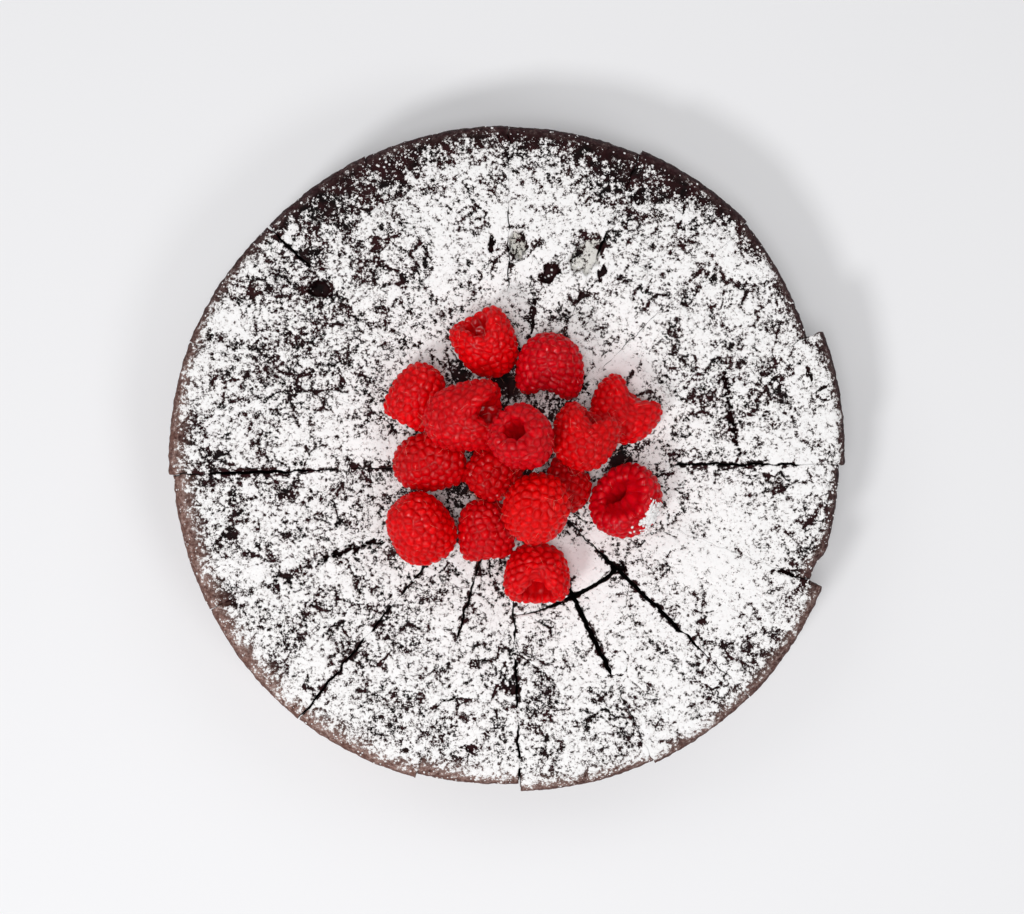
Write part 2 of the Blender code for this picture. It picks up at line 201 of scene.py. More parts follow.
# The mesh: quads this wide on top, fine rows down the shoulder and coarser ones below it
GRID_STEP = 0.6 * MM
SHOULDER_ROWS = 8
LOWER_ROWS = 6
WALL_SPLITS = 5
ON_SIDE = 1e-4


def smoothstep(low, high, value):
    share = np.clip((value - low) / (high - low), 0, 1)
    return share * share * (3 - 2 * share)


def lumps(size, x, y, z=None, octaves=1, seed=0.0):
    """Smooth noise between about -1 and 1 at many points, with lumps of a real size."""
    z = np.zeros_like(x) if z is None else z
    places = zip((x / size + seed).tolist(), (y / size).tolist(), (z / size).tolist())
    return np.array([noise.fractal(place, 1.0, 2.0, octaves) for place in places])


def plate_edges(x, y):
    """How far each point lies from the nearest crack between the crust's plates."""
    bend = 0.35 * PLATE_SIZE
    wavy_x = (x + bend * lumps(PLATE_WAVE, x, y, seed=3.0)) / PLATE_SIZE
    wavy_y = (y + bend * lumps(PLATE_WAVE, x, y, seed=9.0)) / PLATE_SIZE
    gaps = []
    for place in zip(wavy_x.tolist(), wavy_y.tolist()):
        nearest = noise.voronoi((*place, 0.0))[0]
        gaps.append(nearest[1] - nearest[0])
    return np.array(gaps) * PLATE_SIZE / 2


def rim_distance(angle, rim):
    """How far the outline of a rim radius lies from the cuts' centre at an angle."""
    along = CUT_CENTRE[0] * np.cos(angle) + CUT_CENTRE[1] * np.sin(angle)
    off_centre = CUT_CENTRE[0] ** 2 + CUT_CENTRE[1] ** 2
    return np.sqrt(along**2 - off_centre + rim**2) - along


def crest_height(x, y):
    """The top crust's height over the floor, as the solids have it."""
    sink = SINK * (1 - smoothstep(0.3 * SINK_RADIUS, SINK_RADIUS, np.hypot(x, y)))
    return RIM_HEIGHT - sink + CREST_WAVE * lumps(CREST_WAVE_LENGTH, x, y)


def cut_openness(cut, distance):
    """By the distance from the cuts' centre: how wide a cut is, how open its crust is and how
    ragged its edges are."""
    wide = np.zeros_like(distance)
    if cut in GAPING_CUTS:
        start, end, width = (MM * value for value in GAPING_CUTS[cut])
        rise = smoothstep(start - GAPE_RAMP, start, distance)
        wide = (width - HAIRLINE) * rise * (1 - smoothstep(end, end + GAPE_RAMP, distance))
    shown = np.zeros_like(distance)
    ragged = np.zeros_like(distance)
    for start, end, strength in OPEN_CUTS[cut]:
        opens = smoothstep(MM * start - OPEN_RAMP, MM * start, distance)
        closes = 1 - smoothstep(MM * end, MM * end + OPEN_RAMP, distance)
        shown = np.maximum(shown, opens * closes)
        ragged = np.maximum(ragged, strength * opens * closes)
    shown *= 0.4 + 0.6 * smoothstep(0.1, 0.6, ragged)
    bridges = lumps(BRIDGE_SPACING, distance, 0 * distance, seed=cut) + 0.3 * ragged
    shown *= np.maximum(smoothstep(-0.25, 0.05, bridges), smoothstep(0.6 * MM, 1.1 * MM, wide))
    return wide, shown, ragged


def half_gap(cut, distance, depth):
    """Half the width of a cut, by the distance from the cuts' centre and the depth."""
    wide, openness, _ = cut_openness(cut, distance)
    on_top = CLOSED_GAP + (CRUST_LIPS * wide + HAIRLINE - CLOSED_GAP) * openness
    below = CLOSED_GAP + (wide + HAIRLINE) * (1 - smoothstep(*TOUCHING_DEPTHS, depth))
    return (on_top + (below - on_top) * smoothstep(0, CLOSED_DEPTH, depth)) / 2


def hole_depth(x, y, hole, ragged):
    """How deep one hole is at many points, how far into it they lie from 0 to 1, and how far
    towards its right side they lie, where sugar is taken off to paint the shade of its rim."""
    middle_x, middle_y, length, width, turn, depth = hole[:6]
    turn = math.radians(turn)
    away_x, away_y = x - middle_x * MM, y - middle_y * MM
    along = (away_x * math.cos(turn) + away_y * math.sin(turn)) / (length * MM / 2)
    across = (away_y * math.cos(turn) - away_x * math.sin(turn)) / (width * MM / 2)
    angle = np.arctan2(across, along)
    uneven = 1 + 0.12 * np.sin(2 * angle + middle_x) + 0.08 * np.sin(3 * angle + middle_y)
    out = np.hypot(along, across) / uneven + ragged
    inside = 1 - smoothstep(HOLE_TAPER, 1.02, out)
    facing = (0.9 * away_x + 0.4 * away_y) / np.maximum(np.hypot(away_x, away_y), 1e-9)
    return depth * MM * inside, inside, facing


def crack_depth(x, y, crack, ragged):
    """How deep a crack is at many points, and how far into it they lie from 0 to 1."""
    width, depth, points = crack
    nearest = np.full_like(x, 1.0)
    for (x_1, y_1), (x_2, y_2) in zip(points, points[1:]):
        run_x, run_y = (x_2 - x_1) * MM, (y_2 - y_1) * MM
        away_x, away_y = x - x_1 * MM, y - y_1 * MM
        share = np.clip((away_x * run_x + away_y * run_y) / (run_x**2 + run_y**2), 0, 1)
        nearest = np.minimum(nearest, np.hypot(away_x - share * run_x, away_y - share * run_y))
    bridge = smoothstep(0.1, 0.45, lumps(5 * MM, x, y, seed=45.0))
    nearest = nearest + (ragged + 0.8 * bridge) * MM
    inside = 1 - smoothstep(0.2 * width * MM, 0.65 * width * MM, nearest)
    return depth * MM * inside, inside


# The icing sugar: sieved over the cold cake by hand, so it lies in clumps and specks. It is
# thick on the right and in front, thin on the left and at the back, and the rim shed most of
# its own. Each patch: middle X and Y, radius in mm, and how much more or less crust it hides.
SUGAR_COVER = 0.8
SUGAR_PATCHES = (
    (-70, 62, 22, -0.34),
    (-52, 88, 16, -0.24),
    (48, 98, 9, -0.30),
    (76, 22, 16, -0.24),
    (98, 45, 10, -0.12),
    (60, 45, 10, -0.14),
    (58, 78, 9, -0.12),
    (-100, -8, 15, -0.22),
    (-88, 30, 14, -0.24),
    (-70, 28, 11, -0.2),
    (-104, -52, 10, -0.20),
    (-54, -14, 12, -0.14),
    (-72, -30, 9, -0.10),
    (-73, -56, 11, -0.18),
    (-52, -74, 11, -0.14),
    (-38, -92, 12, -0.20),
    (-52, 34, 12, -0.20),
    (9, -89, 9, -0.38),
    (38, -97, 8, -0.14),
    (86, -68, 9, -0.14),
    (-38, -55, 9, -0.18),
    (46, 78, 9, -0.08),
    (8, 52, 5, -0.30),
    (6, 86, 22, 0.12),
    (32, 76, 9, 0.08),
    (78, 64, 14, 0.08),
    (44, 34, 13, 0.16),
    (72, -38, 24, 0.16),
    (100, 0, 14, 0.14),
    (37, -66, 14, 0.10),
    (-60, 8, 9, 0.12),
    (-30, 30, 6, 0.14),
    (-68, -80, 12, 0.10),
    (-104, 46, 12, 0.12),
    (66, -88, 12, 0.06),
    (28, -40, 14, 0.20),
    (-17, 29, 5, -0.90),
    (0, 26, 7, -0.95),
    (16, 20, 8, -0.55),
    (39, -1.5, 5, -0.95),
    (-19, -11, 6, -0.60),
    (0, 0, 16, -0.50),
    (42, -41, 9, -0.10),
    (-41, -41, 9, -0.10),
)
SUGAR_CLUMP = 3.2 * MM
SUGAR_DRIFT = 9 * MM
SUGAR_THICKNESS = 0.28 * MM

# The spread of the two noises that the pattern adds up, and what turns a share's logit into
# the normal one
CLUMP_SPREAD = 0.29
DRIFT_SPREAD = 0.26
LOGIT_SCALE = 1.702

# How much less sugar lies there, in units of the pattern's spread
CRAZE_SHEDS = 2.2
CUT_SHEDS = 4
FLAKE_SHEDS = 6
# Painted shade: less sugar on a hole's right side, so that it looks shaded
HOLE_SHADE_SHEDS = 6
WALL_SHEDS = 6
HOLE_SHEDS = 7

# How wide a rim the sugar left bare: angle in degrees, width in mm
BARE_RIM = (
    (0, 2.5),
    (15, 3),
    (35, 5),
    (45, 8),
    (52, 10),
    (60, 20),
    (66, 23),
    (75, 20),
    (90, 18),
    (105, 12),
    (120, 19),
    (135, 8),
    (150, 4),
    (165, 6),
    (180, 11),
    (195, 11),
    (210, 10),
    (225, 5),
    (240, 7),
    (255, 6),
    (262, 7),
    (270, 4),
    (300, 2.5),
    (312, 5),
    (322, 9),
    (330, 8),
    (345, 7),
    (360, 2.5),
)

# Painted light: between which bearings the side is drawn lighter and browner, where the light
# falls on it, and in which two steps it darkens again, in degrees; and how far in from the rim
# the side's bare skin reaches, and further where lit
LIT_STARTS = (135, 190)
LIT_FADES = ((240, 300), (330, 358))
SKIN_WIDTH = 5 * MM
LIT_SKIN = 6 * MM

# Juice from the berries has turned the sugar pink here: middle X and Y, radius in mm
JUICE_STAINS = ((41, 30, 8), (24, -37, 8), (13, 22, 10), (-18, -12, 6), (28, 8, 12))


def sugar_cover(x, y, edge):
    """The share of the crust that sugar hides round each point."""
    cover = np.full_like(x, SUGAR_COVER)
    for middle_x, middle_y, radius, more in SUGAR_PATCHES:
        away = np.hypot(x - middle_x * MM, y - middle_y * MM) / (radius * MM)
        cover += more * np.exp(-(away**2))
    angle = np.degrees(np.arctan2(y, x)) % 360
    bare = MM * np.interp(angle, *zip(*BARE_RIM))
    shed = 0.45 * smoothstep(-1.5 * MM, bare, edge) + 0.55 * smoothstep(0, 1.7 * bare, edge)
    return np.clip(cover * shed, 0.01, 0.985)


def sugar_amount(x, y, edge):
    """Over zero where sugar lies on the whole, in units of the pattern's own spread."""
    cover = sugar_cover(x, y, edge)
    pattern = 0.45 * lumps(SUGAR_CLUMP, x, y, octaves=2, seed=5.0) / CLUMP_SPREAD
    pattern += 0.35 * lumps(SUGAR_DRIFT, x, y, seed=11.0) / DRIFT_SPREAD
    return pattern + np.log(cover / (1 - cover)) / LOGIT_SCALE


def crust_relief(x, y, edge):
    """How far the crust stands over its even form, how much sugar lies on it, with painted shade
    where sugar is taken off a hole's right side, and how much painted shade greys a hole's sugar."""
    sugar = sugar_amount(x, y, edge)
    gaps = plate_edges(x, y)
    crazed = smoothstep(-0.1, 0.25, lumps(CRAZE_AREAS, x, y, seed=21.0))
    crazed *= 1 - smoothstep(0, CRAZE_WIDTH, gaps)
    relief = CRUST_SWELL * lumps(CRUST_SWELL_SIZE, x, y, seed=2.0)
    relief += CRUST_GRAIN * lumps(CRUST_GRAIN_SIZE, x, y, seed=4.0, octaves=2)
    relief -= CRAZE_DEPTH * crazed
    sugar -= CRAZE_SHEDS * crazed
    ragged = lumps(1.5 * MM, x, y, octaves=2, seed=17.0)
    bent_x = x + HOLE_BEND * lumps(HOLE_BEND_SIZE, x, y, octaves=2, seed=31.0)
    bent_y = y + HOLE_BEND * lumps(HOLE_BEND_SIZE, x, y, octaves=2, seed=37.0)
    hole_floor_shade = np.zeros_like(x)
    for hole in CRUST_HOLES:
        depth, inside, facing = hole_depth(bent_x, bent_y, hole, 0.3 * ragged)
        relief -= depth
        # Painted shade: sugar taken off each hole's right side, so it shows dark like the shade of
        # its rim
        hole_shade = smoothstep(0.05, 0.4, inside) * (1 - smoothstep(0.6, 0.97, inside))
        hole_shade *= smoothstep(0.3, 0.85, facing)
        sugared = hole[6]
        sugar += 0.4 * inside * sugared - HOLE_SHEDS * inside * (1 - sugared)
        sugar -= HOLE_SHADE_SHEDS * hole_shade
        # Painted shade: the deeper a hole, the greyer the sugar inside it
        hole_floor_shade = np.maximum(hole_floor_shade, inside * min(hole[5] / 4, 1))
    for spot in FLAKED_SPOTS:
        depth, inside, _ = hole_depth(bent_x, bent_y, spot, 0.5 * ragged)
        relief -= depth
        sugar -= FLAKE_SHEDS * inside
    for crack in CRACKS:
        depth, inside = crack_depth(bent_x, bent_y, crack, 1.8 * ragged)
        relief -= depth
        sugar -= HOLE_SHEDS * smoothstep(0.25, 0.9, inside)
    relief += SUGAR_THICKNESS * smoothstep(-0.6, 1.2, sugar)
    return relief, sugar, hole_floor_shade


def mesh_of(bm, name):
    mesh = bpy.data.meshes.new(name)
    bm.to_mesh(mesh)
    bm.free()
    return mesh


def placed(name, data):
    """A new object in the scene for a mesh, light or camera."""
    made = bpy.data.objects.new(name, data)
    bpy.context.scene.collection.objects.link(made)
    return made


def points_of(mesh):
    flat = np.empty(len(mesh.vertices) * 3)
    mesh.vertices.foreach_get("co", flat)
    return flat.reshape(-1, 3)


def move_points(mesh, places):
    mesh.vertices.foreach_set("co", places.astype(np.float32).ravel())
    mesh.update()


def keep_layers(mesh, layers):
    """Holds one value for each point under each name that the material reads."""
    for layer, values in layers.items():
        held = mesh.attributes.new(layer, "FLOAT", "POINT")
        held.data.foreach_set("value", values.astype(np.float32))


def block_of_quads(rings, turns):
    """A unit cube cut into quads: along X, along Y and, finest on its outer side, along Z."""
    bm = bmesh.new()
    bmesh.ops.create_cube(bm, size=1)
    bmesh.ops.translate(bm, verts=bm.verts, vec=(0.5, 0.5, 0.5))
    for axis, parts in enumerate((rings, turns, SHOULDER_ROWS + LOWER_ROWS)):
        split = [e for e in bm.edges if abs(e.verts[0].co[axis] - e.verts[1].co[axis]) > 0.5]
        bmesh.ops.subdivide_edges(bm, edges=split, cuts=parts - 1, use_grid_fill=True)
    shoulder = LOWER_ROWS / (SHOULDER_ROWS + LOWER_ROWS)
    wall = []
    for edge in bm.edges:
        one, other = (vert.co for vert in edge.verts)
        upright = abs(one.z - other.z) > ON_SIDE
        below = max(one.z, other.z) < shoulder + ON_SIDE
        if upright and below and min(one.x, other.x) > 1 - ON_SIDE:
            wall.append(edge)
    bmesh.ops.subdivide_edges(bm, edges=wall, cuts=WALL_SPLITS - 1, use_grid_fill=True)
    floor = [face for face in bm.faces if max(vert.co.z for vert in face.verts) < 1e-6]
    bmesh.ops.dissolve_faces(bm, faces=floor)
    return bm


def slice_piece(name, row, next_cut, lifts, inner, outer):
    """One slice: the block bent into its wedge, with its crust, sugar and crumbly cut sides."""
    cut, rim_start, rim_end, lift = row
    next_cut %= 360
    span = math.radians((next_cut - cut) % 360)
    reach = outer or CAKE_RADIUS
    bm = block_of_quads(round((reach - inner) / GRID_STEP), round(reach * span / GRID_STEP))
    for face in bm.faces:
        face.smooth = True
        middle = face.calc_center_median()
        on_cut = min(middle) < ON_SIDE or middle.y > 1 - ON_SIDE
        face.material_index = int(on_cut or (outer is not None and middle.x > 1 - ON_SIDE))
    mesh = mesh_of(bm, name)
    along, across, up = points_of(mesh).T
    rows = SHOULDER_ROWS + LOWER_ROWS
    distance = inner + (reach - inner) * along
    height = RIM_HEIGHT * np.interp(
        up, (0, LOWER_ROWS / rows, 1), (0, 1 - SHOULDER / RIM_HEIGHT, 1)
    )
    depth = RIM_HEIGHT - height
    edge = CAKE_RADIUS - distance - depth
    if not outer:
        out = np.clip((distance - CAKE_RADIUS + SHOULDER) / SHOULDER, 0, 1)
        lifted = np.clip((height - RIM_HEIGHT + SHOULDER) / SHOULDER, 0, 1)
        distance += SHOULDER * out * (np.sqrt(1 - lifted**2 / 2) - 1)
        height += SHOULDER * lifted * (np.sqrt(1 - out**2 / 2) - 1)
        distance -= FOOT_CHAMFER * (1 - smoothstep(0, FOOT_CHAMFER, height)) * (along > 1 - ON_SIDE)
    angle = math.radians(cut) + span * across
    rim = MM * (rim_start + (rim_end - rim_start) * across)
    if cut == CHIPPED_SLICE:
        chip = smoothstep(CHIP_ANGLE, 2.4 * CHIP_ANGLE, np.degrees(across * span))
        rim -= CHIP_LOSS * (1 - chip)
    growth = rim_distance(angle, rim) - CAKE_RADIUS
    distance += growth * smoothstep(SNAP_RADIUS, CAKE_RADIUS - SHOULDER, distance)
    near_snap = np.exp(-(((distance - SNAP_RADIUS) / SNAP_REACH) ** 2))
    distance += SNAP_WANDER * np.sin(7 * angle) * near_snap
    if cut in SNAPPED_SLICES:
        jagged = lumps(3 * MM, distance, angle * SNAP_RADIUS, height, octaves=2)
        side = -1 if outer else 1
        broken = (along > 1 - ON_SIDE) if outer else (along < ON_SIDE)
        on_crust = 1 - smoothstep(0, RAGGED_DEPTH, depth)
        closed = (1 - smoothstep(*SNAP_CLOSED, np.degrees(angle))) * on_crust
        shift = SNAP_JAGS * (1 + on_crust) * np.abs(jagged) * (1 - 0.8 * closed)
        distance += side * (shift - 0.42 * SNAP_GAP * closed) * broken
    wall = (along > 1 - ON_SIDE) & (outer is None)
    grain = lumps(WALL_GRAIN_SIZE, angle * CAKE_RADIUS, height, octaves=3, seed=cut)
    distance += WALL_GRAIN * grain * wall
    halves = []
    wanders = []
    near_crust = 1 - smoothstep(0, CUT_WANDER_DEPTH, depth)
    near_crust *= smoothstep(*CUT_WANDER_START, distance)
    lift = np.full_like(distance, MM * lift)
    shed = np.zeros_like(distance)
    for side_cut, side, other_lift in ((cut, 0, lifts[0]), (next_cut, 1, lifts[1])):
        half = half_gap(side_cut, distance, depth)
        _, openness, strength = cut_openness(side_cut, distance)
        ragged = 0.3 + 1.6 * lumps(1.5 * MM, distance, depth, octaves=3, seed=cut + side)
        ragged = np.clip(ragged, 0, 1) * strength * openness
        half += RAGGED_EDGE * ragged * (1 - smoothstep(0, RAGGED_DEPTH, depth))
        arc = np.abs(across - side) * span * distance
        near = np.exp(-((arc / LEVELLED_SIDE) ** 2))
        lift += (other_lift * MM - lift) / 2 * (1 - openness) * near
        uneven = np.clip(0.5 + 2.2 * lumps(2.4 * MM, distance, arc, seed=cut + side + 3), 0, 1)
        shed += strength * openness * uneven * np.exp(-((arc / SHED_SIDE) ** 2))
        crumb = lumps(CRUMB_GRAIN_SIZE, distance, height, octaves=2, seed=cut + side + 40)
        crumb = np.abs(crumb)
        crumb *= smoothstep(1 * MM, 4 * MM, depth) * (1 - smoothstep(*TOUCHING_DEPTHS, depth))
        halves.append(half + CRUMB_GRAIN * crumb)
        wander = lumps(CUT_WANDER_LENGTH, distance, 0 * distance, octaves=3, seed=side_cut + 7)
        wanders.append(CUT_WANDER * wander * near_crust)
    start = np.arcsin((halves[0] + wanders[0]) / distance)
    end = np.arcsin((halves[1] - wanders[1]) / distance)
    angle = math.radians(cut) + start + (span - start - end) * across
    x = CUT_CENTRE[0] + distance * np.cos(angle)
    y = CUT_CENTRE[1] + distance * np.sin(angle)
    relief, sugar, hole_floor_shade = crust_relief(x, y, edge)
    sugar -= CUT_SHEDS * shed + WALL_SHEDS * smoothstep(-1 * MM, 8 * MM, -edge)
    share = height / RIM_HEIGHT
    height += (crest_height(x, y) + lift - RIM_HEIGHT) * share
    height += relief * smoothstep(0.45, 0.9, share) * (1 - 0.75 * wall)
    move_points(mesh, np.stack((x + centre.x, y + centre.y, height), axis=1))
    bearing = np.degrees(np.arctan2(y, x)) % 360
    # Painted light: the side lighter and browner on the left and in front, where the light falls
    lit_side = smoothstep(*LIT_STARTS, bearing)
    lit_side *= 1 - sum(smoothstep(*fades, bearing) for fades in LIT_FADES) / 2
    stained = np.zeros_like(x)
    for stain_x, stain_y, radius in JUICE_STAINS:
        away = np.hypot(x - stain_x * MM, y - stain_y * MM) / (radius * MM)
        stained = np.maximum(stained, np.exp(-(away**2)))
    layers = {
        "sugar": sugar,
        "skin": 1 - smoothstep(-1 * MM, SKIN_WIDTH + LIT_SKIN * lit_side, edge),
        "down": smoothstep(0, 16 * MM, -edge),
        "juice": stained,
        "hole_floor_shade": hole_floor_shade,
        "lit_side": lit_side,
    }
    keep_layers(mesh, layers)
    return placed(name, mesh)


def colour(hex_code):
    """An sRGB hex colour as the linear one that shaders take."""
    parts = [int(hex_code[i : i + 2], 16) / 255 for i in (1, 3, 5)]
    linear = [p / 12.92 if p <= 0.04045 else ((p + 0.055) / 1.055) ** 2.4 for p in parts]
    return (*linear, 1.0)


def add(tree, kind, inputs=None, output=0, **settings):
    """Adds a node with its settings; each input is a value or another node's output. Gives
    back the output that is used."""
    made = tree.nodes.new("ShaderNode" + kind)
    for setting, value in settings.items():
        setattr(made, setting, value)
    for socket, value in (inputs or {}).items():
        if isinstance(value, bpy.types.NodeSocket):
            tree.links.new(value, made.inputs[socket])
        else:
            made.inputs[socket].default_value = value
    return made.outputs[output] if made.outputs else None


def new_material(name):
    made = bpy.data.materials.new(name)
    made.use_nodes = True
    made.node_tree.nodes.clear()
    return made, made.node_tree


# Dry torte crust under icing sugar. The crust is matt and almost black, a little purple; its
# side is painted lighter and browner on the left and in front, where the light falls. The sugar
# is a white powder that lies in grains and specks, thin enough in places to be grey, and painted
# greyer as shade in the deeper holes.
POWDER_SPECKS = 1.35 * MM
POWDER_SPREAD = 14.5
POWDER_GRAIN = 0.28 * MM
CRUST_MOTTLE = 5 * MM
CRUST_CRUMBS = 1.1 * MM

# A colour mix has its factor, its two colours and its result at these sockets
MIX_FACTOR, MIX_FIRST, MIX_SECOND, MIX_RESULT = 0, 6, 7, 2


def dusted_crust():
    material, tree = new_material("dusted_chocolate_crust")
    place = add(tree, "TexCoord", output="Object")
    layers = {}
    for layer in ("sugar", "skin", "down", "juice", "hole_floor_shade", "lit_side"):
        layers[layer] = add(tree, "Attribute", output="Fac", attribute_name=layer)
    specks = add(
        tree,
        "TexNoise",
        {"Vector": place, "Scale": 1 / POWDER_SPECKS, "Detail": 5.0, "Roughness": 0.76},
    )
    mottle = add(tree, "TexNoise", {"Vector": place, "Scale": 1 / CRUST_MOTTLE, "Detail": 6.0})
    centred = add(tree, "Math", {0: specks, 1: 0.5}, operation="SUBTRACT")
    amount = add(
        tree,
        "Math",
        {0: centred, 1: POWDER_SPREAD, 2: layers["sugar"]},
        operation="MULTIPLY_ADD",
    )
    covered = add(
        tree,
        "MapRange",
        {"Value": amount, "From Min": -0.25, "From Max": 0.2},
        interpolation_type="SMOOTHSTEP",
    )

    bare = add(tree, "ValToRGB", {"Fac": mottle})
    stops = ((0.38, "#0a0303"), (0.64, "#2c1113"))
    for stop, (position, dark) in zip(bare.node.color_ramp.elements, stops):
        stop.position = position
        stop.color = colour(dark)
    crumbs = add(tree, "TexNoise", {"Vector": place, "Scale": 1 / CRUST_CRUMBS, "Detail": 4.0})
    crumbled = add(tree, "MapRange", {"Value": crumbs, "From Min": 0.3, "From Max": 0.7})
    side_tones = []
    # Painted light: the side's colours in a shaded and a lit tone, mixed by where the light falls
    for dark, lit_tone in (("#1e1012", "#4c302c"), ("#462a2d", "#87645a")):
        tones = {MIX_FACTOR: layers["lit_side"], MIX_FIRST: colour(dark), MIX_SECOND: colour(lit_tone)}
        side_tones.append(add(tree, "Mix", tones, MIX_RESULT, data_type="RGBA"))
    tones = {MIX_FACTOR: crumbled, MIX_FIRST: side_tones[0], MIX_SECOND: side_tones[1]}
    side = add(tree, "Mix", tones, MIX_RESULT, data_type="RGBA")
    haze = add(
        tree,
        "MapRange",
        {"Value": amount, "From Min": -3.0, "From Max": 0.4, "To Max": 0.6},
    )
    upward = add(tree, "Math", {0: 1.0, 1: layers["down"]}, operation="SUBTRACT")
    # The thin sugar haze shows more where the side is painted lit
    share = add(tree, "MapRange", {"Value": layers["lit_side"], "To Min": 0.3})
    for layer in (upward, layers["skin"], share):
        haze = add(tree, "Math", {0: haze, 1: layer}, operation="MULTIPLY")
    thick = add(tree, "MapRange", {"Value": amount, "From Min": 0.0, "From Max": 1.6})
    stain = add(tree, "Math", {0: layers["juice"], 1: 0.3}, operation="MULTIPLY")
    white = colour("#e2dedd")
    # Thicker sugar is whiter, juice stains it pink, and painted shade greys it in deep holes
    for share, tint in ((thick, "#f8f7f7"), (stain, "#f0d0d3"), (layers["hole_floor_shade"], "#c4c1b7")):
        tones = {MIX_FACTOR: share, MIX_FIRST: white, MIX_SECOND: colour(tint)}
        white = add(tree, "Mix", tones, MIX_RESULT, data_type="RGBA")
    shown = bare
    for share, upper in ((layers["skin"], side), (haze, colour("#d8bdb4")), (covered, white)):
        tones = {MIX_FACTOR: share, MIX_FIRST: shown, MIX_SECOND: upper}
        shown = add(tree, "Mix", tones, MIX_RESULT, data_type="RGBA")

    rough = add(tree, "MapRange", {"Value": covered, "To Min": 0.6, "To Max": 0.95})
    fine = add(tree, "TexNoise", {"Vector": place, "Scale": 1 / POWDER_GRAIN, "Detail": 3.0})
    height = add(tree, "Math", {0: covered, 1: 0.8, 2: fine}, operation="MULTIPLY_ADD")
    height = add(tree, "Math", {0: crumbled, 1: 0.8, 2: height}, operation="MULTIPLY_ADD")
    bump = add(tree, "Bump", {"Height": height, "Strength": 0.5, "Distance": 0.18 * MM})
    shader = add(
        tree,
        "BsdfPrincipled",
        {
            "Base Color": shown,
            "Roughness": rough,
            "Normal": bump,
            "IOR": 1.45,
            "Specular IOR Level": 0.1,
        },
    )
    add(tree, "OutputMaterial", {"Surface": shader})
    return material


# The cut sides and the underside: moist, close crumb of dark chocolate, nearly black, with
# small pores where the egg foam held air.
PORE_SIZE = 1.1 * MM
CRUMB_SIZE = 0.7 * MM


def torte_crumb():
    material, tree = new_material("moist_chocolate_crumb")
    place = add(tree, "TexCoord", output="Object")
    pores = add(tree, "TexVoronoi", {"Vector": place, "Scale": 1 / PORE_SIZE, "Randomness": 1.0})
    crumb = add(tree, "TexNoise", {"Vector": place, "Scale": 1 / CRUMB_SIZE, "Detail": 5.0})
    tone = add(tree, "ValToRGB", {"Fac": crumb})
    stops = ((0.35, "#120605"), (0.7, "#3b1d17"))
    for stop, (position, dark) in zip(tone.node.color_ramp.elements, stops):
        stop.position = position
        stop.color = colour(dark)
    height = add(tree, "Math", {0: pores, 1: 0.8, 2: crumb}, operation="MULTIPLY_ADD")
    bump = add(tree, "Bump", {"Height": height, "Strength": 0.7, "Distance": 0.3 * MM})
    shader = add(
        tree,
        "BsdfPrincipled",
        {"Base Color": tone, "Roughness": 0.7, "Normal": bump, "IOR": 1.45},
    )
    add(tree, "OutputMaterial", {"Surface": shader})
    return material


# The solids stand centred on the origin, so the rims of the rightmost and the foremost slice
# say how far they moved
corner_x = CUT_CENTRE[0] + rim_distance(np.zeros(1), SLICES[0][1] * MM)[0]
lowest_cut, lowest_rim = SLICES[12][:2]
lowest = rim_distance(np.radians([lowest_cut]), lowest_rim * MM)[0]
corner_y = CUT_CENTRE[1] + lowest * math.sin(math.radians(lowest_cut))
centre = Vector((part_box("slice_01")[1].x - corner_x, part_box("slice_13")[0].y - corner_y, 0))

crust_finish = dusted_crust()
crumb_finish = torte_crumb()
slice_pieces = []
following = [row[0] for row in SLICES[1:]] + [360.0]
for number, (row, next_cut) in enumerate(zip(SLICES, following), 1):
    lifts = (SLICES[number - 2][3], SLICES[number % len(SLICES)][3])
    spans = {f"slice_{number:02d}": (TIP_RADIUS, None)}
    if row[0] in SNAPPED_SLICES:
        spans = {
            f"slice_{number:02d}": (SNAP_RADIUS + SNAP_GAP / 2, None),
            f"slice_{number:02d}_point": (TIP_RADIUS, SNAP_RADIUS - SNAP_GAP / 2),
        }
    for node, (inner, outer) in spans.items():
        piece = slice_piece(f"dusted_{node}", row, next_cut, lifts, inner, outer)
        piece.data.materials.append(crust_finish)
        piece.data.materials.append(crumb_finish)
        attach(piece, "root")
        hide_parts(node)
        slice_pieces.append(piece)


# The raspberries: fifteen large fresh ones, picked off their plugs, so each is a hollow
# thimble of some hundred and fifty drupelets. They were tipped on the middle and lie as they
# fell: tips up, mouths up and on their sides.
BERRY_PROFILE = (
    (0.00, 0.50),
    (0.34, 0.475),
    (0.68, 0.385),
    (0.91, 0.195),
    (1.00, -0.04),
    (0.985, -0.27),
    (0.87, -0.435),
    (0.66, -0.50),
    (0.47, -0.43),
    (0.36, -0.18),
    (0.20, 0.08),
    (0.00, 0.14),
)
LIP_ROW = 7
LIP_TURN = 0.35
NOTCH_SPREAD = 0.38
NOTCH_INSIDE = 0.5
SKIN_COVER = 0.7 * MM
BERRY_UNEVEN = 0.45 * MM
BERRY_UNEVEN_SIZE = 9 * MM
USUAL_RADIUS = 10 * MM
USUAL_LENGTH = 22 * MM
CURVE_STEPS = 16
